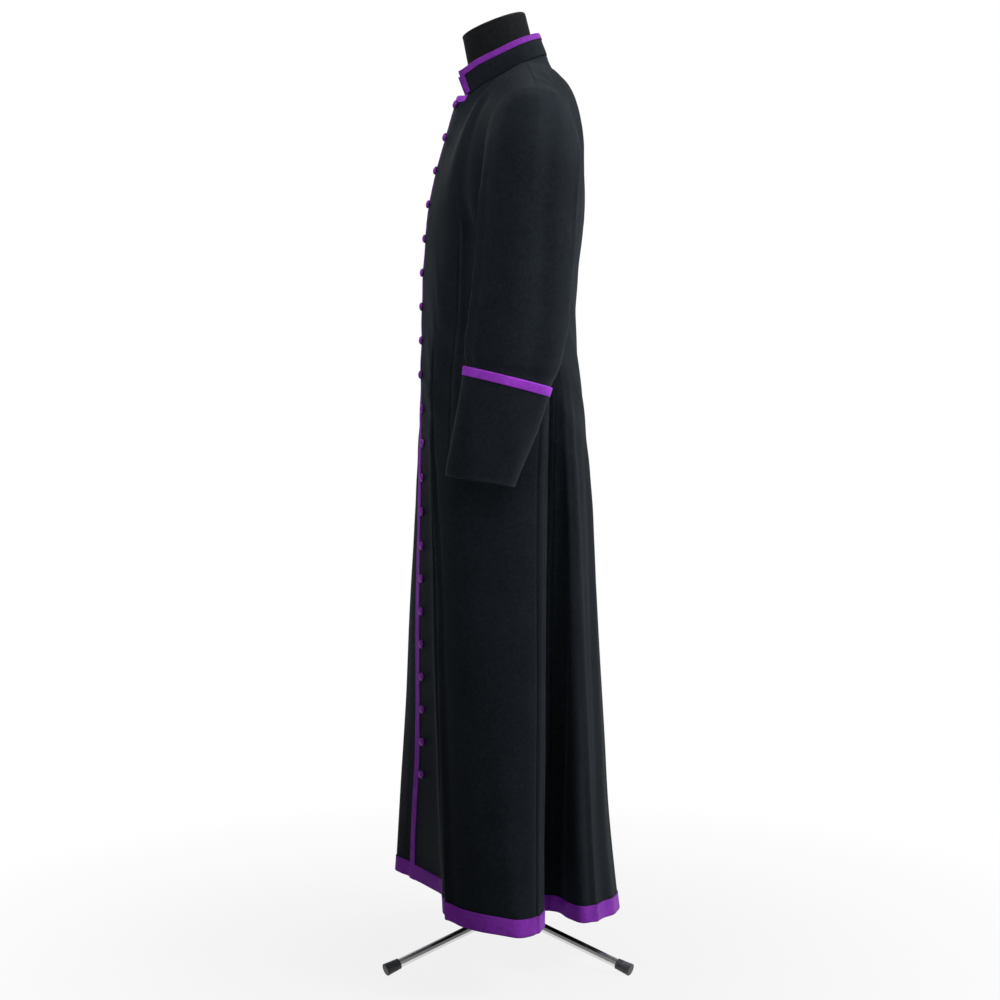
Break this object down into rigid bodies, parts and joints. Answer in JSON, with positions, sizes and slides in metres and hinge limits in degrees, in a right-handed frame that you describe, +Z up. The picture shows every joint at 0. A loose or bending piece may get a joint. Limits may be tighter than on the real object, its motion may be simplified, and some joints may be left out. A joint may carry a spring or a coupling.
{
  "type": "cassock on a dress form with a tripod stand",
  "caption": "Full-length black cassock with purple edge, collar, cuff and hem bands and covered buttons, on a limbless dress form with a tripod stand.",
  "frame": {"origin": "on the floor, under the middle of the whole object's box", "axes": "+Z up, the garment's front towards -Y and the wearer's left towards +X; the stand's pole is 9.7 mm behind the origin"},
  "size_m": [0.5406, 0.4169, 1.6011],
  "materials": {
    "black_wool": "matt woven",
    "purple_silk": "soft sheen",
    "form_jersey": "matt knitted",
    "form_cap": "satin",
    "chrome": "polished",
    "black_rubber": "matt"
  },
  "bodies": {
    "root": {"front_left": "black_wool", "back": "black_wool", "front_right": "black_wool", "collar": "black_wool", "sleeve_left": "black_wool", "sleeve_right": "black_wool", "cuff_left": "black_wool", "cuff_right": "black_wool", "front_trim": "purple_silk", "hem_trim_left": "purple_silk", "hem_trim_back": "purple_silk", "hem_trim_right": "purple_silk", "neck_trim_right": "purple_silk", "collar_trim": "purple_silk", "cuff_trim_left": "purple_silk", "cuff_trim_right": "purple_silk", "button_01": "purple_silk", "button_02": "purple_silk", "button_03": "purple_silk", "button_04": "purple_silk", "button_05": "purple_silk", "button_06": "purple_silk", "button_07": "purple_silk", "button_08": "purple_silk", "button_09": "purple_silk", "button_10": "purple_silk", "button_11": "purple_silk", "button_12": "purple_silk", "button_13": "purple_silk", "button_14": "purple_silk", "button_15": "purple_silk", "button_16": "purple_silk", "button_17": "purple_silk", "button_18": "purple_silk", "button_19": "purple_silk", "button_20": "purple_silk", "button_21": "purple_silk", "form_torso": "form_jersey", "form_neck_cap": "form_cap", "form_cap_knob": "form_cap", "stand_pole": "chrome", "stand_hub": "chrome", "leg_1": "chrome", "leg_2": "chrome", "leg_3": "chrome", "foot_1": "black_rubber", "foot_2": "black_rubber", "foot_3": "black_rubber"}
  },
  "joints": []
}
